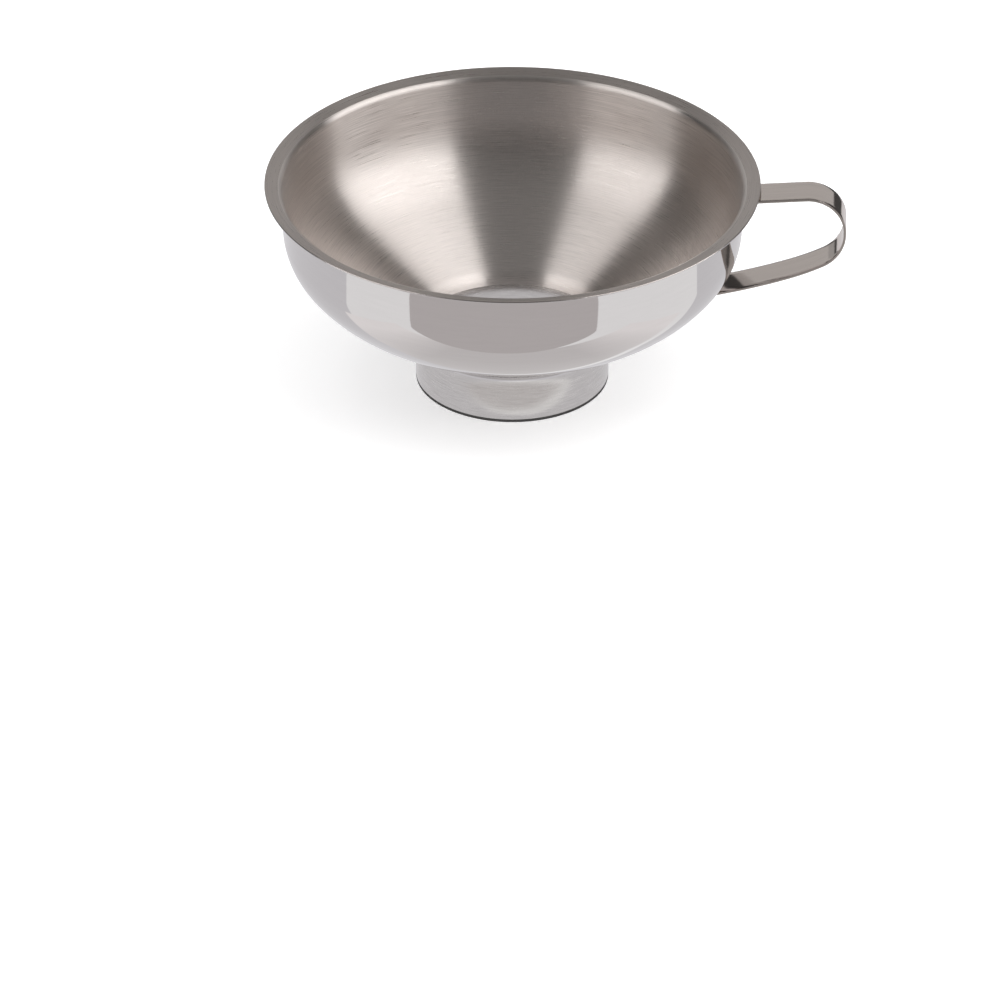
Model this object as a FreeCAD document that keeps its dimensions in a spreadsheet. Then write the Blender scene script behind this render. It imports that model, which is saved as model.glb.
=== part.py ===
import FreeCAD, Part
import math
import os

import Sketcher

# Canning funnel in stainless sheet: a deep drawn bowl with a flared lip and a
# straight spout, and a bent strap handle spot welded under it.
# Millimetres and degrees. Origin: centre of the spout's bottom edge, +Z up,
# the handle along +X.

SIZES = [
    # alias, value, what it is
    ("total_height", 68.0, "spout's bottom edge to the lip's highest point"),
    ("rim_radius", 75.0, "outermost radius of the lip"),
    ("sheet_gauge", 0.6, "thickness of the drawn sheet"),
    ("lip_slope", 15.0, "lip above the horizontal"),
    ("lip_fold_radius", 1.4, "underside of the fold between wall and lip"),
    ("wall_radius", 70.2, "outside of the wall where the lip's fold begins"),
    ("wall_lean", 2.0, "wall's draft from the vertical"),
    ("wall_run", 12.2, "straight part of the wall"),
    ("belly_upper_radius", 21.0, "tighter curve under the wall"),
    ("belly_break_radius", 65.668, "distance from the axis where the two curves meet"),
    ("belly_lower_radius", 40.0, "slacker curve above the cone"),
    ("cone_slope", 31.0, "cone above the horizontal"),
    ("throat_radius", 8.0, "outside curve between the cone and the spout"),
    ("spout_radius", 29.75, "outside of the spout"),
    ("strap_width", 11.5, "width of the handle's strap"),
    ("strap_gauge", 0.75, "thickness of the handle's strap"),
    ("strap_start_x", 69.73, "foot of the upper tab, from the axis"),
    ("strap_start_z", 57.0, "foot of the upper tab, above the bench"),
    ("tab_upper_run", 7.3, "length of the tab on the wall"),
    ("tab_lower_run", 8.6, "length of the tab under the belly"),
    ("heel_run", 3.5, "straight end of the lower arm, up to its tab"),
    ("root_bend_radius", 1.6, "bend between the upper tab and the upper arm"),
    ("root_bend_sweep", 83.0, "its turn"),
    ("arm_upper_run", 17.3, "straight upper arm"),
    ("nose_upper_radius", 11.5, "upper half of the grip's bend"),
    ("nose_upper_sweep", 95.0, "its turn"),
    ("nose_flat_run", 0.6, "straight part at the grip's far end"),
    ("nose_lower_radius", 12.4, "lower half of the grip's bend"),
    ("nose_lower_sweep", 62.0, "its turn"),
    ("arm_curve_radius", 80.0, "first part of the lower arm"),
    ("arm_curve_sweep", 8.0, "its turn"),
    ("arm_slack_radius", 200.0, "rest of the lower arm"),
    ("arm_slack_sweep", 6.9, "its turn"),
    ("heel_bend_radius", 1.2, "bend between the lower arm and the lower tab"),
    ("heel_bend_sweep", 19.4, "its turn"),
    ("weld_radius", 1.7, "radius of a spot weld"),
    ("weld_spacing", 5.2, "between the two welds of a tab"),
    ("weld_proud", 0.12, "weld above the tab's face"),
]
SIZE = {alias: value for alias, value, _note in SIZES}
UPPER_WELD_HEIGHT = 60.6
LOWER_WELD_ANGLE = 59.0


def make_sheet(doc):
    """Return the sheet that holds every size, one alias to a row."""
    sheet = doc.addObject("Spreadsheet::Sheet", "dims")
    for row, (alias, value, note) in enumerate(SIZES, start=1):
        sheet.set("A%d" % row, alias)
        sheet.set("B%d" % row, str(value))
        sheet.set("C%d" % row, note)
        sheet.setAlias("B%d" % row, alias)
    doc.recompute()
    return sheet


def origin_plane(body, role):
    """Return the body's own origin plane with this role."""
    return next(f for f in body.Origin.OriginFeatures if f.Role == role)


class Outline:
    """A sketch drawn as a path of lines and bends that run into each other."""

    def __init__(self, sketch, x, z, heading):
        self.sketch = sketch
        self.x, self.z, self.heading = x, z, heading
        self.last = None

    def _join(self, index, start, end):
        if self.last is not None:
            kind = "Tangent" if self.smooth else "Coincident"
            self.sketch.addConstraint(
                Sketcher.Constraint(kind, self.last[0], self.last[1], index, start)
            )
        self.last = (index, end)
        self.smooth = True
        return index

    def line(self, length):
        """Draw a straight run ahead and return its index."""
        a = math.radians(self.heading)
        p = FreeCAD.Vector(self.x, self.z, 0)
        self.x += length * math.cos(a)
        self.z += length * math.sin(a)
        q = FreeCAD.Vector(self.x, self.z, 0)
        index = self.sketch.addGeometry(Part.LineSegment(p, q), False)
        return self._join(index, 1, 2)

    def bend(self, radius, turn):
        """Draw a bend, to the left for a positive turn, and return its index."""
        side = 1.0 if turn > 0 else -1.0
        a = math.radians(self.heading + side * 90.0)
        cx = self.x + radius * math.cos(a)
        cz = self.z + radius * math.sin(a)
        first = a + math.pi
        last = first + math.radians(turn)
        low, high = (first, last) if turn > 0 else (last, first)
        circle = Part.Circle(FreeCAD.Vector(cx, cz, 0), FreeCAD.Vector(0, 0, 1), radius)
        index = self.sketch.addGeometry(Part.ArcOfCircle(circle, low, high), False)
        self.x = cx + radius * math.cos(last)
        self.z = cz + radius * math.sin(last)
        self.heading += turn
        return self._join(index, 1 if turn > 0 else 2, 2 if turn > 0 else 1)

    def corner(self, turn):
        """Turn on the spot, so that the next piece starts at a corner."""
        self.heading += turn
        self.smooth = False


def bind(sketch, kind, where, value, formula):
    """Add a dimension to the sketch and bind it to the sheet."""
    index = sketch.addConstraint(Sketcher.Constraint(kind, *where, value))
    sketch.setExpression("Constraints[%d]" % index, formula)


def bowl_runs():
    """Return the bowl's straight lengths that follow from its sizes."""
    s, rad = SIZE, math.radians
    lean, slope = rad(s["wall_lean"]), rad(s["cone_slope"])
    fold = s["lip_fold_radius"]
    wall_top = s["total_height"] - s["sheet_gauge"] / 2
    lip = rad(s["lip_slope"])
    # fold's centre, and the height at which the lip's line leaves it
    cx = s["wall_radius"] + fold * math.cos(lean)
    edge_x = s["rim_radius"] - s["sheet_gauge"] / 2
    half = s["sheet_gauge"] / 2
    foot_x = cx - fold * math.sin(lip)
    tip_x = edge_x + half * math.sin(lip)
    lip_run = (tip_x - foot_x) / math.cos(lip)
    tip_z = wall_top - half * math.cos(lip)
    cz = tip_z - lip_run * math.sin(lip) - fold * math.cos(lip)
    top_z = cz + fold * math.sin(lean)
    x1 = s["wall_radius"] - s["wall_run"] * math.sin(lean)
    z1 = top_z - s["wall_run"] * math.cos(lean)
    r_up, r_low = s["belly_upper_radius"], s["belly_lower_radius"]
    ax, az = x1 - r_up * math.cos(lean), z1 + r_up * math.sin(lean)
    turn = math.acos((s["belly_break_radius"] - ax) / r_up)
    bx = ax - (r_low - r_up) * math.cos(turn)
    bz = az + (r_low - r_up) * math.sin(turn)
    end = math.pi / 2 - slope
    x3, z3 = bx + r_low * math.cos(end), bz - r_low * math.sin(end)
    throat = s["throat_radius"]
    x4 = s["spout_radius"] + throat * (1 - math.sin(slope))
    cone_run = (x3 - x4) / math.cos(slope)
    z4 = z3 - cone_run * math.sin(slope)
    return {
        "spout": z4 - throat * math.cos(slope),
        "cone": cone_run,
        "turn": math.degrees(turn),
        "lip": lip_run,
        "belly_x": bx,
        "belly_z": bz,
        "wall_top_z": top_z,
    }


def make_bowl(doc):
    """Return the drawn sheet: lip, wall, belly, cone, throat and spout."""
    s, run = SIZE, bowl_runs()
    body = doc.addObject("PartDesign::Body", "funnel_bowl")
    body.Label = "funnel_bowl"
    sketch = body.newObject("Sketcher::SketchObject", "bowl_section")
    sketch.AttachmentSupport = [(origin_plane(body, "XZ_Plane"), "")]
    sketch.MapMode = "FlatFace"
    path = Outline(sketch, s["spout_radius"], 0.0, 90.0)
    path.smooth = False
    t = s["sheet_gauge"]
    slope, lean, lip = s["cone_slope"], s["wall_lean"], s["lip_slope"]
    upper = run["turn"] - lean
    lower = 90.0 - slope - run["turn"]
    # outside, upwards
    spout = path.line(run["spout"])
    throat = path.bend(s["throat_radius"], slope - 90.0)
    cone = path.line(run["cone"])
    belly_low = path.bend(s["belly_lower_radius"], lower)
    belly_up = path.bend(s["belly_upper_radius"], upper)
    wall = path.line(s["wall_run"])
    fold = path.bend(s["lip_fold_radius"], lip - (90.0 - lean))
    brim = path.line(run["lip"])
    edge = path.bend(t / 2, 180.0)
    # inside, downwards
    brim_in = path.line(run["lip"])
    fold_in = path.bend(s["lip_fold_radius"] + t, 90.0 - lean - lip)
    path.line(s["wall_run"])
    up_in = path.bend(s["belly_upper_radius"] - t, -upper)
    low_in = path.bend(s["belly_lower_radius"] - t, -lower)
    path.line(run["cone"])
    throat_in = path.bend(s["throat_radius"] + t, 90.0 - slope)
    spout_in = path.line(run["spout"])
    path.corner(90.0)
    foot = path.line(t)
    add = sketch.addConstraint
    add(Sketcher.Constraint("Coincident", foot, 2, spout, 1))
    add(Sketcher.Constraint("Horizontal", foot))
    add(Sketcher.Constraint("Vertical", spout))
    add(Sketcher.Constraint("Vertical", spout_in))
    add(Sketcher.Constraint("Parallel", brim, brim_in))
    add(Sketcher.Constraint("PointOnObject", spout, 1, -1))
    for outer, inner in ((throat, throat_in), (belly_low, low_in), (belly_up, up_in), (fold, fold_in)):
        add(Sketcher.Constraint("Coincident", outer, 3, inner, 3))
    bind(sketch, "DistanceX", (-1, 1, spout, 1), s["spout_radius"], "dims.spout_radius")
    bind(sketch, "Radius", (throat,), s["throat_radius"], "dims.throat_radius")
    bind(sketch, "Radius", (throat_in,), s["throat_radius"] + t, "dims.throat_radius + dims.sheet_gauge")
    bind(sketch, "Angle", (cone,), math.radians(slope), "dims.cone_slope * 1 deg")
    bind(sketch, "Radius", (belly_low,), s["belly_lower_radius"], "dims.belly_lower_radius")
    bind(sketch, "Radius", (belly_up,), s["belly_upper_radius"], "dims.belly_upper_radius")
    bind(sketch, "Radius", (up_in,), s["belly_upper_radius"] - t, "dims.belly_upper_radius - dims.sheet_gauge")
    bind(sketch, "DistanceX", (-1, 1, belly_up, 1), s["belly_break_radius"], "dims.belly_break_radius")
    bind(sketch, "Angle", (wall,), math.radians(90.0 - lean), "90 deg - dims.wall_lean * 1 deg")
    bind(sketch, "Distance", (wall,), s["wall_run"], "dims.wall_run")
    bind(sketch, "DistanceX", (-1, 1, wall, 2), s["wall_radius"], "dims.wall_radius")
    bind(sketch, "Radius", (fold,), s["lip_fold_radius"], "dims.lip_fold_radius")
    bind(sketch, "Radius", (fold_in,), s["lip_fold_radius"] + t, "dims.lip_fold_radius + dims.sheet_gauge")
    bind(sketch, "Angle", (brim,), math.radians(lip), "dims.lip_slope * 1 deg")
    bind(sketch, "DistanceX", (-1, 1, edge, 3), s["rim_radius"] - t / 2, "dims.rim_radius - dims.sheet_gauge / 2")
    bind(sketch, "DistanceY", (-1, 1, edge, 3), s["total_height"] - t / 2, "dims.total_height - dims.sheet_gauge / 2")
    spin = body.newObject("PartDesign::Revolution", "bowl_spin")
    spin.Profile = sketch
    spin.ReferenceAxis = (sketch, ["V_Axis"])
    spin.Angle = 360.0
    body.Tip = spin
    return body


def make_strap_blank(doc):
    """Return the bent strap before its tabs are fitted to the bowl."""
    s = SIZE
    sketch = doc.addObject("Sketcher::SketchObject", "strap_path")
    sketch.Placement = FreeCAD.Placement(
        FreeCAD.Vector(0, 0, 0), FreeCAD.Rotation(FreeCAD.Vector(1, 0, 0), 90)
    )
    path = Outline(sketch, s["strap_start_x"], s["strap_start_z"], 90.0 - s["wall_lean"])
    path.smooth = False
    tab = path.line(s["tab_upper_run"])
    bends = [
        (path.bend(s["root_bend_radius"], -s["root_bend_sweep"]), "root_bend"),
    ]
    arm = path.line(s["arm_upper_run"])
    bends.append((path.bend(s["nose_upper_radius"], -s["nose_upper_sweep"]), "nose_upper"))
    nose = path.line(s["nose_flat_run"])
    for name in ("nose_lower", "arm_curve", "arm_slack"):
        bends.append((path.bend(s[name + "_radius"], -s[name + "_sweep"]), name))
    reach = path.line(s["heel_run"])
    bends.append((path.bend(s["heel_bend_radius"], s["heel_bend_sweep"]), "heel_bend"))
    heel = path.line(s["tab_lower_run"])
    bind(sketch, "DistanceX", (-1, 1, tab, 1), s["strap_start_x"], "dims.strap_start_x")
    bind(sketch, "DistanceY", (-1, 1, tab, 1), s["strap_start_z"], "dims.strap_start_z")
    bind(sketch, "Angle", (tab,), math.radians(90.0 - s["wall_lean"]), "90 deg - dims.wall_lean * 1 deg")
    bind(sketch, "Distance", (tab,), s["tab_upper_run"], "dims.tab_upper_run")
    bind(sketch, "Distance", (arm,), s["arm_upper_run"], "dims.arm_upper_run")
    bind(sketch, "Distance", (nose,), s["nose_flat_run"], "dims.nose_flat_run")
    bind(sketch, "Distance", (reach,), s["heel_run"], "dims.heel_run")
    bind(sketch, "Distance", (heel,), s["tab_lower_run"], "dims.tab_lower_run")
    for index, name in bends:
        radius, sweep = name + "_radius", name + "_sweep"
        bind(sketch, "Radius", (index,), s[radius], "dims." + radius)
        bind(sketch, "Angle", (index,), math.radians(s[sweep]), "dims.%s * 1 deg" % sweep)
    section = doc.addObject("Part::Offset2D", "strap_section")
    section.Source = sketch
    section.Mode = "Skin"
    section.Join = "Arc"
    section.Fill = True
    section.Value = -s["strap_gauge"]
    section.setExpression("Value", "-dims.strap_gauge * 1 mm")
    strap = doc.addObject("Part::Extrusion", "strap_blank")
    strap.Base = section
    strap.DirMode = "Custom"
    strap.Dir = FreeCAD.Vector(0, 1, 0)
    strap.Solid = True
    strap.Symmetric = True
    strap.LengthFwd = s["strap_width"]
    strap.setExpression("LengthFwd", "dims.strap_width * 1 mm")
    return strap


def make_weld_blanks(doc):
    """Return four cylinders through the tabs, square to the sheet under them."""
    s, run = SIZE, bowl_runs()
    lean, down = math.radians(s["wall_lean"]), math.radians(LOWER_WELD_ANGLE)
    drop = run["wall_top_z"] - UPPER_WELD_HEIGHT
    seats = {
        "upper": (
            FreeCAD.Vector(s["wall_radius"] - drop * math.tan(lean), 0, UPPER_WELD_HEIGHT),
            FreeCAD.Vector(math.cos(lean), 0, -math.sin(lean)),
        ),
        "lower": (
            FreeCAD.Vector(
                run["belly_x"] + s["belly_lower_radius"] * math.cos(down),
                0,
                run["belly_z"] - s["belly_lower_radius"] * math.sin(down),
            ),
            FreeCAD.Vector(math.cos(down), 0, -math.sin(down)),
        ),
    }
    welds = []
    for name, (seat, out) in seats.items():
        for side, tag in ((-1, "back"), (1, "front")):
            weld = doc.addObject("Part::Cylinder", "weld_%s_%s" % (name, tag))
            weld.setExpression("Radius", "dims.weld_radius * 1 mm")
            weld.setExpression("Height", "(dims.sheet_gauge / 2 + dims.strap_gauge + dims.weld_proud) * 1 mm")
            middle = FreeCAD.Vector(0, -side * s["weld_spacing"] / 2, 0)
            weld.Placement = FreeCAD.Placement(
                seat + middle - out * (s["sheet_gauge"] / 2),
                FreeCAD.Rotation(FreeCAD.Vector(0, 0, 1), out),
            )
            welds.append(weld)
    group = doc.addObject("Part::Compound", "weld_blanks")
    group.Links = welds
    return group


def make_cut(doc, name, base, tool):
    """Return base with tool's metal taken away."""
    cut = doc.addObject("Part::Cut", name)
    cut.Label = name
    cut.Base = base
    cut.Tool = tool
    return cut


def check(doc):
    """Stop if an object of the document failed or has an unsound shape."""
    for obj in doc.Objects:
        if "Invalid" in obj.State or "Error" in obj.State:
            raise RuntimeError("%s is %s" % (obj.Label, obj.State))
        shape = getattr(obj, "Shape", None)
        if shape is not None and obj.TypeId.startswith(("Part::", "PartDesign::")):
            if shape.isNull() or not shape.isValid():
                raise RuntimeError("%s has an unsound shape" % obj.Label)


def main():
    """Build the funnel and write one STEP file for each of its parts."""
    doc = FreeCAD.newDocument("canning_funnel")
    make_sheet(doc)
    bowl = make_bowl(doc)
    blank = make_strap_blank(doc)
    weld_blanks = make_weld_blanks(doc)
    fitted = make_cut(doc, "strap_fitted", blank, bowl)
    strap = make_cut(doc, "handle_strap", fitted, weld_blanks)
    welds = make_cut(doc, "spot_welds", weld_blanks, bowl)
    doc.recompute()
    check(doc)
    os.makedirs("parts", exist_ok=True)
    for node in (bowl, strap, welds):
        shape = node.Shape
        box = shape.BoundBox
        print(
            "%s: %d solid(s), %.1f mm3, x %.2f..%.2f y %.2f..%.2f z %.2f..%.2f"
            % (node.Label, len(shape.Solids), shape.Volume, box.XMin, box.XMax,
               box.YMin, box.YMax, box.ZMin, box.ZMax)
        )
        shape.exportStep("parts/%s.step" % node.Label)
    for sketch in doc.findObjects("Sketcher::SketchObject"):
        print("%s: solver %d" % (sketch.Label, sketch.solve()))


main()
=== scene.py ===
"""Canning funnel in stainless steel, seen from the front and above.

A deep bowl with a flared lip and a straight spout is spun from one section, and a
strap handle is bent round one path and pressed on to it. Lengths in the classes are
millimetres, and they are turned into metres where the mesh is made.
"""

import logging
import math
from dataclasses import dataclass, field
from enum import Enum
from typing import ClassVar

import bmesh
import bpy
from mathutils import Matrix, Vector


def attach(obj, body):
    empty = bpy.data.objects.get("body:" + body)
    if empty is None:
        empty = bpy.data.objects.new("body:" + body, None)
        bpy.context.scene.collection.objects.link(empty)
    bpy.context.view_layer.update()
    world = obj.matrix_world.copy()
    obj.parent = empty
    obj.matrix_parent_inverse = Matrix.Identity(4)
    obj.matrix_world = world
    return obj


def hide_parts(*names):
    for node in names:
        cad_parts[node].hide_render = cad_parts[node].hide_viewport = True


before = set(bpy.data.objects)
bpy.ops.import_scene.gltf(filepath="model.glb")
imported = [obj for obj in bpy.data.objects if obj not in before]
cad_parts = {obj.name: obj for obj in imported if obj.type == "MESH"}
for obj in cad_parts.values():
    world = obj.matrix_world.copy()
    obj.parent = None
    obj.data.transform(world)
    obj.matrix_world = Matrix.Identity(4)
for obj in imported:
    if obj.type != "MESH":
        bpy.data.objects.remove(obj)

LOG = logging.getLogger("canning_funnel")
MM = 0.001
UP = Vector((0.0, 0.0, 1.0))
ACROSS = Vector((0.0, 1.0, 0.0))
X_WAY, Y_WAY, Z_WAY = (1.0, 0.0, 0.0), (0.0, 1.0, 0.0), (0.0, 0.0, 1.0)
WHITE = (1.0, 1.0, 1.0)


class Grain(Enum):
    """Which way the brush lines of a finish run."""

    RINGS = "rings"
    ALONG = "along"


class Zone(Enum):
    """Parts of the bowl's sheet that get materials of their own, in the order of their
    materials; the lip's colour is darkened with painted shade.
    """

    INSIDE = 0
    OUTSIDE = 1
    LIP = 2
    SPOUT = 3


class Graph:
    """A short way to write a node tree."""

    def __init__(self, tree: bpy.types.NodeTree) -> None:
        """Empty the tree."""
        self.tree = tree
        tree.nodes.clear()

    def add(self, kind: str, **settings: object) -> bpy.types.Node:
        """Add a node.

        Args:
            kind: The node's type name.
            **settings: Properties to set on it.

        Returns:
            The new node.
        """
        node = self.tree.nodes.new(kind)
        for name, value in settings.items():
            setattr(node, name, value)
        return node

    def feed(self, node: bpy.types.Node, socket: object, value: object) -> None:
        """Link or set one input.

        Args:
            node: The node that takes the value.
            socket: The input's name or number.
            value: Another node's output, or a plain value.
        """
        if isinstance(value, bpy.types.NodeSocket):
            self.tree.links.new(value, node.inputs[socket])
        else:
            node.inputs[socket].default_value = value

    def maths(
        self, operation: str, first: object, second: object = 0.0
    ) -> bpy.types.NodeSocket:
        """Return the result of one sum.

        Args:
            operation: Name of the sum.
            first: First value or output.
            second: Second value or output.

        Returns:
            The result's socket.
        """
        node = self.add("ShaderNodeMath", operation=operation)
        self.feed(node, 0, first)
        self.feed(node, 1, second)
        return node.outputs[0]

    def noise(
        self, vector: object, scale: float, detail: float, rough: float
    ) -> bpy.types.NodeSocket:
        """Return a noise value from 0 to 1.

        Args:
            vector: Where to read the noise.
            scale: How fine it is.
            detail: Number of finer layers.
            rough: Weight of the finer layers.

        Returns:
            The value's socket.
        """
        node = self.add("ShaderNodeTexNoise")
        self.feed(node, "Vector", vector)
        self.feed(node, "Scale", scale)
        self.feed(node, "Detail", detail)
        self.feed(node, "Roughness", rough)
        return node.outputs["Fac"]

    def spread(
        self, value: object, low: float, high: float, start: float = 0.3, stop: float = 0.7
    ) -> bpy.types.NodeSocket:
        """Stretch a value on to a new range and hold it there.

        Args:
            value: The value's socket.
            low: Result where the value is at start.
            high: Result where the value is at stop.
            start: First value that counts.
            stop: Last value that counts.

        Returns:
            The result's socket.
        """
        node = self.add("ShaderNodeMapRange")
        for socket, number in ((1, start), (2, stop), (3, low), (4, high)):
            self.feed(node, socket, number)
        self.feed(node, 0, value)
        return node.outputs[0]


@dataclass(frozen=True)
class Steel:
    """One stainless finish.

    Attributes:
        name: Name of the material.
        colour: Base colour, linear.
        roughness: Middle roughness.
        grain: Way the brush lines run.
        pitch: Distance between the main brush lines, in millimetres.
        contrast: How much the lines darken the colour, 0 to 1.
        relief: Height of the lines for the light, in millimetres.
        ripple: Height of the slow waves left by spinning, in millimetres.
        anisotropy: How far a highlight is drawn out across the lines.
        scatter: How far the roughness strays from line to line, 0 to 1.
    """

    name: str
    colour: tuple[float, float, float]
    roughness: float
    grain: Grain
    pitch: float = 0.5
    contrast: float = 0.1
    relief: float = 0.002
    ripple: float = 0.0
    anisotropy: float = 0.0
    scatter: float = 0.15
    _LINES_ROUND: ClassVar[float] = 5.0
    _LINES_ALONG: ClassVar[float] = 40.0
    _WAVES: ClassVar[float] = 70.0

    def _lines(self, g: Graph) -> tuple[bpy.types.NodeSocket, bpy.types.NodeSocket]:
        """Lay out the space that the brush lines are read in.

        Args:
            g: The finish's graph.

        Returns:
            The place in brush space, and the place on the piece.
        """
        place = g.add("ShaderNodeTexCoord").outputs["Object"]
        split = g.add("ShaderNodeSeparateXYZ")
        g.feed(split, 0, place)
        x, y, z = split.outputs[:3]
        flat = g.add("ShaderNodeCombineXYZ")
        g.feed(flat, 0, x)
        g.feed(flat, 1, y)
        length = g.add("ShaderNodeVectorMath", operation="LENGTH")
        g.feed(length, 0, flat.outputs[0])
        radius = length.outputs["Value"]
        fine = 1.0 / (self.pitch * MM)
        join = g.add("ShaderNodeCombineXYZ")
        if self.grain is Grain.RINGS:
            g.feed(join, 0, g.maths("MULTIPLY", g.maths("ADD", radius, z), fine))
            g.feed(join, 1, self._turned(g, x, radius))
            g.feed(join, 2, self._turned(g, y, radius))
        else:
            g.feed(join, 0, g.maths("MULTIPLY", x, self._LINES_ALONG))
            g.feed(join, 1, g.maths("MULTIPLY", y, fine))
            g.feed(join, 2, g.maths("MULTIPLY", z, self._LINES_ALONG))
        return join.outputs[0], place

    def _turned(self, g: Graph, way: object, radius: object) -> bpy.types.NodeSocket:
        """Return how far round the axis a place lies, in brush space."""
        return g.maths("MULTIPLY", g.maths("DIVIDE", way, radius), self._LINES_ROUND)

    def build(self) -> bpy.types.Material:
        """Wire the brush lines into the colour, the roughness and the relief.

        Returns:
            The finish as a material.
        """
        material = bpy.data.materials.new(self.name)
        material.use_nodes = True
        g = Graph(material.node_tree)
        lines, place = self._lines(g)
        streak = g.noise(lines, scale=1.0, detail=5.0, rough=0.65)
        shader = g.add("ShaderNodeBsdfPrincipled")
        g.feed(shader, "Metallic", 1.0)
        g.feed(shader, "Anisotropic", self.anisotropy)
        g.feed(shader, "Anisotropic Rotation", 0.25)
        if self.anisotropy:
            round_axis = g.add("ShaderNodeTangent", direction_type="RADIAL", axis="Z")
            g.feed(shader, "Tangent", round_axis.outputs[0])
        mix = g.add("ShaderNodeMix", data_type="RGBA", blend_type="MULTIPLY")
        # The mix node's inputs 6 and 7 are its two colours.
        g.feed(mix, 0, 1.0)
        g.feed(mix, 6, (*self.colour, 1.0))
        shade = g.spread(streak, 1.0 - self.contrast, 1.0 + self.contrast)
        tone = g.add("ShaderNodeCombineColor")
        for channel in range(3):
            g.feed(tone, channel, shade)
        g.feed(mix, 7, tone.outputs[0])
        g.feed(shader, "Base Color", mix.outputs[2])
        smooth = self.roughness * (1.0 - self.scatter)
        coarse = self.roughness * (1.0 + self.scatter)
        g.feed(shader, "Roughness", g.spread(streak, smooth, coarse))
        height = g.maths("MULTIPLY", streak, self.relief * MM)
        if self.ripple:
            wave = g.noise(place, scale=self._WAVES, detail=1.0, rough=0.4)
            height = g.maths("ADD", height, g.maths("MULTIPLY", wave, self.ripple * MM))
        bump = g.add("ShaderNodeBump")
        g.feed(bump, "Distance", 1.0)
        g.feed(bump, "Height", height)
        g.feed(shader, "Normal", bump.outputs[0])
        output = g.add("ShaderNodeOutputMaterial")
        g.feed(output, 0, shader.outputs[0])
        return material


@dataclass(frozen=True)
class Matt:
    """A plain matt surface for the studio.

    Attributes:
        name: Name of the material.
        colour: Base colour, linear.
        glow: Strength of its own light.
    """

    name: str
    colour: tuple[float, float, float]
    glow: float = 0.0

    def build(self) -> bpy.types.Material:
        """Set up the surface.

        Returns:
            The surface as a material.
        """
        material = bpy.data.materials.new(self.name)
        material.use_nodes = True
        shader = material.node_tree.nodes["Principled BSDF"]
        shader.inputs["Base Color"].default_value = (*self.colour, 1.0)
        shader.inputs["Roughness"].default_value = 0.9
        shader.inputs["Specular IOR Level"].default_value = 0.0
        shader.inputs["Emission Color"].default_value = (*WHITE, 1.0)
        shader.inputs["Emission Strength"].default_value = self.glow
        return material


class Pen:
    """Draws a wire in the XZ plane with lines and bends that run into each other."""

    def __init__(self, bm: bmesh.types.BMesh, x: float, z: float, heading: float) -> None:
        """Put the pen down.

        Args:
            bm: The mesh to draw in.
            x: Start, in millimetres.
            z: Start, in millimetres.
            heading: Direction to draw in, in degrees above +X.
        """
        self.bm = bm
        self.heading = heading
        self.tip = bm.verts.new((x * MM, 0.0, z * MM))
        self.first = self.tip

    def _ahead(self) -> Vector:
        """Return the unit vector of the heading."""
        a = math.radians(self.heading)
        return Vector((math.cos(a), 0.0, math.sin(a)))

    def line(self, length: float, steps: int = 1) -> "Pen":
        """Draw straight on.

        Args:
            length: Length in millimetres.
            steps: Number of edges.

        Returns:
            The pen.
        """
        for _ in range(steps):
            grown = bmesh.ops.extrude_vert_indiv(self.bm, verts=[self.tip])
            self.tip = grown["verts"][0]
            step = self._ahead() * (length * MM / steps)
            bmesh.ops.translate(self.bm, verts=[self.tip], vec=step)
        return self

    def bend(self, radius: float, turn: float, steps: int) -> "Pen":
        """Draw a bend.

        Args:
            radius: Radius in millimetres.
            turn: Turn in degrees, positive to the left.
            steps: Number of edges.

        Returns:
            The pen.
        """
        side = 1.0 if turn > 0 else -1.0
        a = math.radians(self.heading + 90.0 * side)
        centre = self.tip.co + Vector((math.cos(a), 0.0, math.sin(a))) * (radius * MM)
        for _ in range(steps):
            grown = bmesh.ops.extrude_vert_indiv(self.bm, verts=[self.tip])
            self.tip = grown["verts"][0]
            swing = Matrix.Rotation(-math.radians(turn / steps), 3, "Y")
            bmesh.ops.rotate(self.bm, verts=[self.tip], cent=centre, matrix=swing)
        self.heading += turn
        return self


def new_piece(
    name: str, bm: bmesh.types.BMesh, finishes: list[Steel], sharp: float = 40.0
) -> bpy.types.Object:
    """Turn a mesh into a piece of the object.

    Args:
        name: Name of the piece.
        bm: The mesh, which is freed.
        finishes: Finishes in the order of the faces' material numbers.
        sharp: Edges steeper than this, in degrees, stay crisp.

    Returns:
        The piece, riding on the funnel's one body.
    """
    mesh = bpy.data.meshes.new(name)
    bm.to_mesh(mesh)
    bm.free()
    for finish in finishes:
        mesh.materials.append(finish.build())
    mesh.shade_smooth()
    mesh.set_sharp_from_angle(angle=math.radians(sharp))
    piece = bpy.data.objects.new(name, mesh)
    bpy.context.collection.objects.link(piece)
    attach(piece, "root")
    return piece


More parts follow.
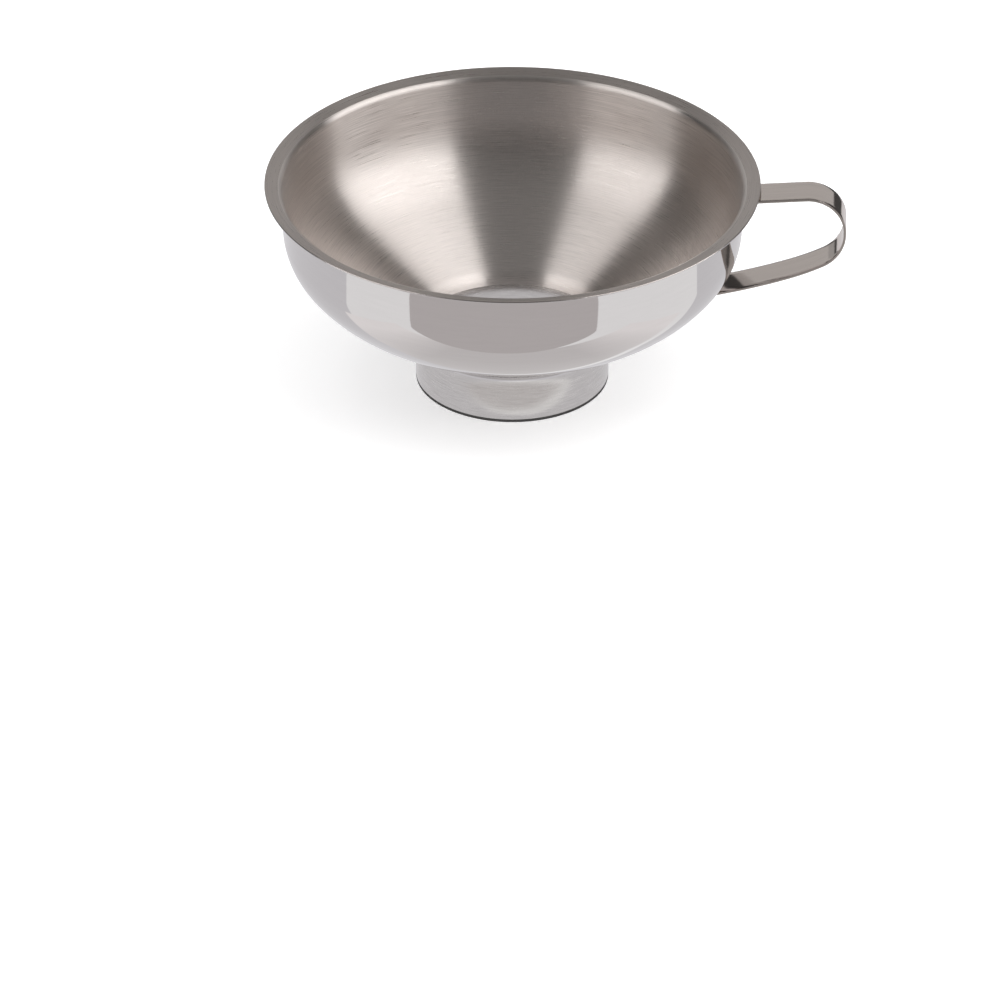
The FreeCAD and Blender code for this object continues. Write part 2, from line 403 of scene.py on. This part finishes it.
@dataclass
class Bowl:
    """The drawn sheet, from the lip down to the spout.

    Attributes:
        gauge: Thickness of the sheet.
        spout_radius: Outside radius of the spout.
        spout_run: Length of the spout's straight part.
        throat_radius: Outside bend between spout and cone.
        cone_slope: Cone above the horizontal, in degrees.
        cone_run: Length of the cone.
        belly: Radius and turn of the two bends between the cone and the wall.
        wall_run: Length of the wall.
        wall_heading: Heading of the wall, in degrees.
        fold_radius: Underside of the bend between wall and lip.
        lip_slope: Lip above the horizontal, in degrees.
        lip_run: Length of the lip.
        cut: Rounding of the spout's cut edge.
        spout_top: Height where the spout's finish ends.
        lip_inside: Radius where the lip's material starts; its darker colour is painted shade.
        turns: Number of faces round the bowl.
        finishes: Finish of each zone.
    """

    gauge: float = 0.6
    spout_radius: float = 29.75
    spout_run: float = 11.389
    throat_radius: float = 8.0
    cone_slope: float = 31.0
    cone_run: float = 23.90
    belly: tuple[tuple[float, float], ...] = ((40.0, 22.5), (21.0, 34.5))
    wall_run: float = 12.2
    wall_heading: float = 88.0
    fold_radius: float = 1.4
    lip_slope: float = 15.0
    lip_run: float = 3.65
    cut: float = 0.12
    spout_top: float = 14.5
    lip_inside: float = 71.0
    turns: int = 288
    finishes: dict[Zone, Steel] = field(default_factory=dict)

    def section(self, bm: bmesh.types.BMesh) -> None:
        """Draw the closed outline of the sheet in the XZ plane.

        Args:
            bm: The mesh to draw in.
        """
        (low_r, low_turn), (up_r, up_turn) = self.belly
        spout = self.spout_run - self.cut
        t, fold_turn = self.gauge, self.wall_heading - self.lip_slope
        rise = 90.0 - self.cone_slope
        pen = Pen(bm, self.spout_radius - self.cut, 0.0, 0.0)
        pen.bend(self.cut, 90.0, 3).line(spout, 4)
        pen.bend(self.throat_radius, -rise, 22).line(self.cone_run, 10)
        pen.bend(low_r, low_turn, 16).bend(up_r, up_turn, 24).line(self.wall_run, 5)
        pen.bend(self.fold_radius, -fold_turn, 14).line(self.lip_run, 3)
        pen.bend(t / 2, 180.0, 10).line(self.lip_run, 3)
        pen.bend(self.fold_radius + t, fold_turn, 16).line(self.wall_run, 5)
        pen.bend(up_r - t, -up_turn, 24).bend(low_r - t, -low_turn, 16)
        pen.line(self.cone_run, 10).bend(self.throat_radius + t, rise, 22)
        pen.line(spout, 4).bend(self.cut, 90.0, 3)
        bm.edges.new((pen.tip, pen.first))

    def zone(self, face: bmesh.types.BMFace) -> Zone:
        """Sort a face by where it lies and which way it looks.

        Args:
            face: A face of the spun sheet.

        Returns:
            The zone that it belongs to.
        """
        middle = face.calc_center_median()
        flat = Vector((middle.x, middle.y, 0.0))
        radius, height = flat.length / MM, middle.z / MM
        lean = face.normal.dot(flat.normalized()) - 0.5 * face.normal.z
        if height < self.spout_top:
            return Zone.SPOUT
        if radius > self.lip_inside and lean < 0.6:
            return Zone.LIP
        return Zone.OUTSIDE if lean > 0.0 else Zone.INSIDE

    def build(self) -> bpy.types.Object:
        """Spin the section round the funnel's axis and finish its zones.

        Returns:
            The bowl.
        """
        bm = bmesh.new()
        self.section(bm)
        bmesh.ops.spin(
            bm, geom=bm.verts[:] + bm.edges[:], cent=(0, 0, 0), axis=UP,
            angle=math.tau, steps=self.turns, use_merge=True,
        )
        bmesh.ops.remove_doubles(bm, verts=bm.verts, dist=1e-6)
        bmesh.ops.recalc_face_normals(bm, faces=bm.faces)
        for face in bm.faces:
            face.material_index = self.zone(face).value
        piece = new_piece("bowl", bm, [self.finishes[z] for z in Zone])
        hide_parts("funnel_bowl")
        return piece


@dataclass
class Strap:
    """The bent handle: tab, upper arm, grip, lower arm, tab.

    Attributes:
        width: Width of the strap.
        gauge: Thickness of the strap.
        corner: Rounding of the tabs' corners.
        edge: Rounding of the long edges.
        start: Foot of the upper tab.
        heading: Heading of the upper tab, in degrees.
        tabs: Length of the upper and the lower tab.
        root: Radius and turn of the bend above the upper tab.
        arm: Length of the straight upper arm.
        grip: Radius and turn of the grip's two bends.
        grip_run: Length between them.
        slack: Radius and turn of the lower arm's two slow curves.
        heel_run: Length of the lower arm's straight end.
        heel: Radius and turn of the bend before the lower tab.
        cuts: Places across the strap where its faces are divided.
        finish: Finish of its faces.
        cut: Finish of its sheared edges.
    """

    width: float = 11.5
    gauge: float = 0.75
    corner: float = 1.8
    edge: float = 0.14
    start: tuple[float, float] = (69.73, 57.0)
    heading: float = 88.0
    tabs: tuple[float, float] = (7.3, 8.6)
    root: tuple[float, float] = (1.6, -83.0)
    arm: float = 17.3
    grip: tuple[tuple[float, float], ...] = ((11.5, -95.0), (12.4, -62.0))
    grip_run: float = 0.6
    slack: tuple[tuple[float, float], ...] = ((80.0, -8.0), (200.0, -6.9))
    heel_run: float = 3.5
    heel: tuple[float, float] = (1.2, 19.4)
    cuts: tuple[float, ...] = (-4.1, -2.75, -1.4, 0.0, 1.4, 2.75, 4.1)
    finish: Steel | None = None
    cut: Steel | None = None

    def path(self, bm: bmesh.types.BMesh) -> None:
        """Draw one face of the strap, on the outside of the grip, in the XZ plane.

        Args:
            bm: The mesh to draw in.
        """
        upper_tab, lower_tab = self.tabs
        pen = Pen(bm, *self.start, self.heading)
        pen.line(upper_tab, 6).bend(*self.root, 10).line(self.arm, 8)
        pen.bend(*self.grip[0], 28).line(self.grip_run, 1).bend(*self.grip[1], 20)
        pen.bend(*self.slack[0], 5).bend(*self.slack[1], 8).line(self.heel_run, 2)
        pen.bend(*self.heel, 5).line(lower_tab, 7)

    def build(self) -> bpy.types.Object:
        """Widen the path to a strap, round its edges and press its tabs on to the bowl.

        Returns:
            The strap.
        """
        bm = bmesh.new()
        self.path(bm)
        half = self.width * MM / 2
        bmesh.ops.translate(bm, verts=bm.verts, vec=ACROSS * -half)
        wide = bmesh.ops.extrude_edge_only(bm, edges=bm.edges[:])
        moved = [v for v in wide["geom"] if isinstance(v, bmesh.types.BMVert)]
        bmesh.ops.translate(bm, verts=moved, vec=ACROSS * (2 * half))
        corners = [v for v in bm.verts if len(v.link_edges) == 2]
        bmesh.ops.bevel(
            bm, geom=corners, affect="VERTICES", offset=self.corner * MM,
            segments=5, profile=0.5, material=-1,
        )
        bmesh.ops.recalc_face_normals(bm, faces=bm.faces)
        top = max(bm.faces, key=lambda f: f.calc_center_median().z)
        if top.normal.z < 0:
            bmesh.ops.reverse_faces(bm, faces=bm.faces)
        bmesh.ops.solidify(bm, geom=bm.faces[:], thickness=self.gauge * MM)
        bmesh.ops.recalc_face_normals(bm, faces=bm.faces)
        rims = [e for e in bm.edges if len(e.link_faces) == 2 and e.calc_face_angle(0.0) > 1.2]
        bmesh.ops.bevel(
            bm, geom=rims, affect="EDGES", offset=self.edge * MM, segments=2, profile=0.5,
            material=-1,
        )
        for y in self.cuts:
            bmesh.ops.bisect_plane(
                bm, geom=bm.verts[:] + bm.edges[:] + bm.faces[:], dist=1e-7,
                plane_co=(0, y * MM, 0), plane_no=ACROSS,
            )
        self.press(bm)
        bmesh.ops.recalc_face_normals(bm, faces=bm.faces)
        for face in bm.faces:
            face.material_index = int(abs(face.normal.y) > 0.6)
        piece = new_piece("strap", bm, [self.finish, self.cut])
        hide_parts("handle_strap")
        return piece

    def press(self, bm: bmesh.types.BMesh) -> None:
        """Wrap the two tabs round the bowl, and leave the arms flat.

        Args:
            bm: The mesh of the strap, still flat across.
        """
        upper_half = 50.0
        lower_half = 40.0
        for vert in bm.verts:
            x, y, z = vert.co / MM
            # Where the wrap starts, how soon it is full, and how far the tab is let out.
            if z > upper_half:
                start, run, out = 72.5, 2.0, 0.27
            elif z < lower_half:
                start, run, out = 60.5, 2.5, 0.3
            else:
                continue
            weight = min(1.0, max(0.0, (start - x) / run))
            if weight:
                wrapped = math.sqrt(max((x + out) ** 2 - y * y, 0.0))
                vert.co.x = (x + (wrapped - x) * weight) * MM


@dataclass
class SpotWelds:
    """The four pressed spots that hold the tabs.

    Attributes:
        radius: Radius of a spot.
        depth: Height of a button.
        edge: Rounding of its rims.
        spacing: Between the two spots of a tab.
        seats: Middle of each pair and the way it faces, in degrees below +X.
        finish: Their finish.
    """

    radius: float = 1.7
    depth: float = 0.5
    edge: float = 0.12
    spacing: float = 5.2
    seats: tuple[tuple[tuple[float, float], float], ...] = (
        ((70.76, 60.6), 2.0), ((54.45, 30.0), 59.0),
    )
    finish: Steel | None = None

    def build(self) -> bpy.types.Object:
        """Set two low buttons on each tab.

        Returns:
            The welds.
        """
        bm = bmesh.new()
        for (x, z), dip in self.seats:
            for side in (-1.0, 1.0):
                y = side * self.spacing / 2
                place = Matrix.Translation(Vector((x, y, z)) * MM)
                turn = Matrix.Rotation(math.radians(90.0 + dip), 4, "Y")
                made = bmesh.ops.create_cone(
                    bm, cap_ends=True, segments=40, radius1=self.radius * MM,
                    radius2=self.radius * MM, depth=self.depth * MM, matrix=place @ turn,
                )
                edges = {e for v in made["verts"] for e in v.link_edges}
                rims = [e for e in edges if e.calc_face_angle(0.0) > 1.0]
                bmesh.ops.bevel(
                    bm, geom=rims, affect="EDGES", offset=self.edge * MM, segments=2,
                    profile=0.5, material=-1,
                )
        bmesh.ops.recalc_face_normals(bm, faces=bm.faces)
        piece = new_piece("welds", bm, [self.finish])
        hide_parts("spot_welds")
        return piece


@dataclass(frozen=True)
class Panel:
    """A glowing board: a soft box, or a card that only reflections see.

    Attributes:
        name: Name of the board.
        place: Its middle, in metres.
        across: Direction of its width.
        along: Direction of its depth.
        widths: Width where it starts and where it ends, in metres.
        depth: Length from start to end, in metres.
        glow: Radiance of its face.
        tint: Colour of its light.
        end_glow: Radiance where its depth ends, if it differs.
        edge_glow: Radiance at its two sides, if it fades towards them.
        fade: Where the fade starts and stops, in metres from its middle line.
        corner: Rounding of its corners, in metres.
        hidden: True if only reflections see it.
    """

    name: str
    place: tuple[float, float, float]
    across: tuple[float, float, float]
    along: tuple[float, float, float]
    widths: tuple[float, float]
    depth: float
    glow: float
    tint: tuple[float, float, float] = WHITE
    end_glow: float | None = None
    edge_glow: float | None = None
    fade: tuple[float, float] = (0.0, 1.0)
    corner: float = 0.0
    hidden: bool = True

    def _material(self) -> bpy.types.Material:
        """Set up the board's light, with its fades.

        Returns:
            The glow as a material.
        """
        material = bpy.data.materials.new(self.name)
        material.use_nodes = True
        g = Graph(material.node_tree)
        light = g.add("ShaderNodeEmission")
        g.feed(light, "Color", (*self.tint, 1.0))
        g.feed(light, "Strength", self.glow)
        split = g.add("ShaderNodeSeparateXYZ")
        g.feed(split, 0, g.add("ShaderNodeTexCoord").outputs["Object"])
        if self.end_glow is not None:
            half, ahead = self.depth / 2.0, split.outputs[1]
            g.feed(light, "Strength", g.spread(ahead, self.glow, self.end_glow, -half, half))
        if self.edge_glow is not None:
            off = g.maths("ABSOLUTE", split.outputs[0])
            g.feed(light, "Strength", g.spread(off, self.glow, self.edge_glow, *self.fade))
        g.feed(g.add("ShaderNodeOutputMaterial"), 0, light.outputs[0])
        return material

    def build(self) -> bpy.types.Object:
        """Cut the board to shape and put it up.

        Returns:
            The board.
        """
        bm = bmesh.new()
        bmesh.ops.create_grid(bm, x_segments=1, y_segments=1, size=0.5)
        for vert in bm.verts:
            first, last = self.widths
            vert.co.x *= first + (last - first) * (vert.co.y + 0.5)
            vert.co.y *= self.depth
        if self.corner:
            bmesh.ops.bevel(
                bm, geom=bm.verts[:], affect="VERTICES", offset=self.corner, segments=8,
                profile=0.5, material=-1,
            )
        mesh = bpy.data.meshes.new(self.name)
        bm.to_mesh(mesh)
        bm.free()
        mesh.materials.append(self._material())
        board = bpy.data.objects.new(self.name, mesh)
        wide = Vector(self.across).normalized()
        deep = Vector(self.along)
        deep = (deep - wide * wide.dot(deep)).normalized()
        turn = Matrix((wide, deep, wide.cross(deep))).transposed().to_4x4()
        board.matrix_world = Matrix.Translation(self.place) @ turn
        board.visible_camera = False
        board.visible_shadow = False
        if self.hidden:
            board.visible_diffuse = False
            board.visible_transmission = False
        bpy.context.collection.objects.link(board)
        return board


@dataclass
class Studio:
    """Floor, soft boxes, cards, surrounding light and camera.

    Attributes:
        turn: Turn of all the boards round the funnel's axis, in degrees.
        boards: The soft boxes and the cards.
        floor_size: Half the floor's side, in metres.
        fill_size: Side of the lamp over the floor, in metres.
        fill_height: Its height, in metres.
        fill_watts: Its power.
        surround: Radiance of everything else that the steel sees.
        spot: Place of the camera, in metres.
        aim: Its turn, in degrees.
        lens: Its focal length, in millimetres.
    """

    turn: float = 4.0
    boards: tuple[Panel, ...] = (
        Panel(
            "soft_box_right", (0.696, -0.09, 0.752), across=(0.534, 0.783, -0.32),
            along=(0.529, -0.603, -0.593), widths=(0.68, 1.42), depth=1.05, glow=1.8,
            end_glow=3.3, hidden=False,
        ),
        Panel(
            "soft_box_left", (-0.664, -0.137, 0.771), across=(-0.534, 0.783, -0.32),
            along=(-0.529, -0.603, -0.593), widths=(0.46, 0.98), depth=1.05, glow=0.7,
            end_glow=3.1, hidden=False,
        ),
        Panel(
            "soft_box_back", (0.0, 2.6, 1.45), across=X_WAY, along=Z_WAY,
            widths=(4.0, 4.0), depth=2.3, glow=0.56, hidden=False,
        ),
        Panel(
            "soft_box_over", (0.0, 0.3, 2.4), across=X_WAY, along=Y_WAY,
            widths=(3.2, 3.2), depth=3.6, glow=0.31,
        ),
        Panel(
            "card_round", (0.0, -0.59, 0.0010), across=X_WAY, along=Y_WAY,
            widths=(2.4, 2.4), depth=1.62, glow=0.77, tint=(0.985, 0.975, 1.0),
        ),
        Panel(
            "card_behind", (-1.15, 1.36, 0.17), across=X_WAY, along=(0.0, 1.0, 0.15),
            widths=(2.2, 2.2), depth=2.3, glow=0.42,
        ),
        Panel(
            "card_light", (0.0, -0.71, 0.0014), across=(1.0, 0.1, 0.0), along=Y_WAY,
            widths=(2.4, 2.4), depth=1.35, glow=1.02,
        ),
        Panel(
            "card_near", (0.0, -0.064, 0.0018), across=X_WAY, along=Y_WAY,
            widths=(0.2, 0.2), depth=0.06, glow=0.72, tint=(1.0, 0.97, 0.965),
            edge_glow=1.02, fade=(0.035, 0.08),
        ),
        Panel(
            "card_front", (-0.022, -0.343, 0.0022), across=(1.0, -0.06, 0.0),
            along=(-0.06, -1.0, 0.0), widths=(0.116, 1.2), depth=0.51, glow=0.61,
            tint=(1.0, 0.95, 0.94), corner=0.05,
        ),
    )
    floor_size: float = 6.0
    fill_size: float = 2.5
    fill_height: float = 2.5
    fill_watts: float = 30.0
    surround: float = 0.075
    spot: tuple[float, float, float] = (0.085567, -1.27772, 0.75646)
    aim: tuple[float, float, float] = (57.9086, 0.0, 4.0)
    lens: float = 172.8

    def floor(self) -> bpy.types.Object:
        """Lay a wide pale floor under the spout.

        Returns:
            The floor.
        """
        bm = bmesh.new()
        bmesh.ops.create_grid(bm, x_segments=1, y_segments=1, size=self.floor_size)
        mesh = bpy.data.meshes.new("floor")
        bm.to_mesh(mesh)
        bm.free()
        mesh.materials.append(Matt("floor_white", (0.9, 0.9, 0.9), glow=0.42).build())
        floor = bpy.data.objects.new("floor", mesh)
        floor.visible_glossy = False
        bpy.context.collection.objects.link(floor)
        return floor

    def light(self) -> None:
        """Put up the boards, light the floor from above and set the light all round."""
        swing = Matrix.Rotation(math.radians(self.turn), 4, "Z")
        for board in self.boards:
            hung = board.build()
            hung.matrix_world = swing @ hung.matrix_world
        fill = bpy.data.objects.new("fill", bpy.data.lights.new("fill", "AREA"))
        fill.data.size = self.fill_size
        fill.data.energy = self.fill_watts
        fill.location = (0.0, 0.0, self.fill_height)
        fill.visible_glossy = False
        fill.visible_camera = False
        bpy.context.collection.objects.link(fill)
        world = bpy.data.worlds.new("surround")
        bpy.context.scene.world = world
        world.use_nodes = True
        g = Graph(world.node_tree)
        seen = g.add("ShaderNodeLightPath").outputs["Is Camera Ray"]
        back = g.add("ShaderNodeBackground")
        g.feed(back, "Color", (*WHITE, 1.0))
        g.feed(back, "Strength", g.spread(seen, self.surround, 1.0, 0.0, 1.0))
        g.feed(g.add("ShaderNodeOutputWorld"), 0, back.outputs[0])
        bpy.context.scene.view_settings.view_transform = "Standard"

    def camera(self) -> None:
        """Set up the long lens that looks down on the funnel."""
        data = bpy.data.cameras.new("camera")
        data.lens = self.lens
        data.sensor_width = 36.0
        data.clip_end = 50.0
        camera = bpy.data.objects.new("camera", data)
        camera.location = self.spot
        camera.rotation_euler = [math.radians(a) for a in self.aim]
        bpy.context.collection.objects.link(camera)
        bpy.context.scene.camera = camera


def main() -> None:
    """Build the funnel and its studio, and report each piece."""
    logging.basicConfig(level=logging.INFO, format="%(message)s")
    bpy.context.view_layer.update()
    rings, along = Grain.RINGS, Grain.ALONG
    inside = Steel(
        "steel_inside", (0.66, 0.61, 0.58), 0.37, rings, pitch=0.22, contrast=0.2,
        relief=0.003, anisotropy=1.0, scatter=0.32,
    )
    outside = Steel(
        "steel_outside", (0.63, 0.61, 0.61), 0.04, rings, pitch=1.2, contrast=0.012,
        relief=0.0, ripple=0.002,
    )
    # The lip is the same steel as the rest of the sheet; its darker, warmer colour is painted
    # shade.
    lip = Steel(
        "steel_lip_painted_shade", (0.45, 0.405, 0.38), 0.3, rings, pitch=0.3, contrast=0.12,
        relief=0.003, anisotropy=0.8,
    )
    spout = Steel(
        "steel_spout", (0.6, 0.58, 0.57), 0.25, rings, relief=0.003, anisotropy=0.6,
    )
    strap = Steel(
        "steel_strap", (0.62, 0.555, 0.515), 0.1, along, pitch=0.3, contrast=0.06,
        relief=0.001,
    )
    cut = Steel("steel_cut_edge", (0.32, 0.29, 0.27), 0.45, along, pitch=0.3)
    weld = Steel("steel_weld", (0.5, 0.48, 0.47), 0.35, along, pitch=0.4, contrast=0.06)
    finishes = {
        Zone.INSIDE: inside, Zone.OUTSIDE: outside, Zone.LIP: lip, Zone.SPOUT: spout,
    }
    parts = [Bowl(finishes=finishes), Strap(finish=strap, cut=cut), SpotWelds(finish=weld)]
    for part in parts:
        piece = part.build()
        LOG.info("%s: %d faces", piece.name, len(piece.data.polygons))
    studio = Studio()
    studio.floor()
    studio.light()
    studio.camera()


if __name__ == "__main__":
    main()
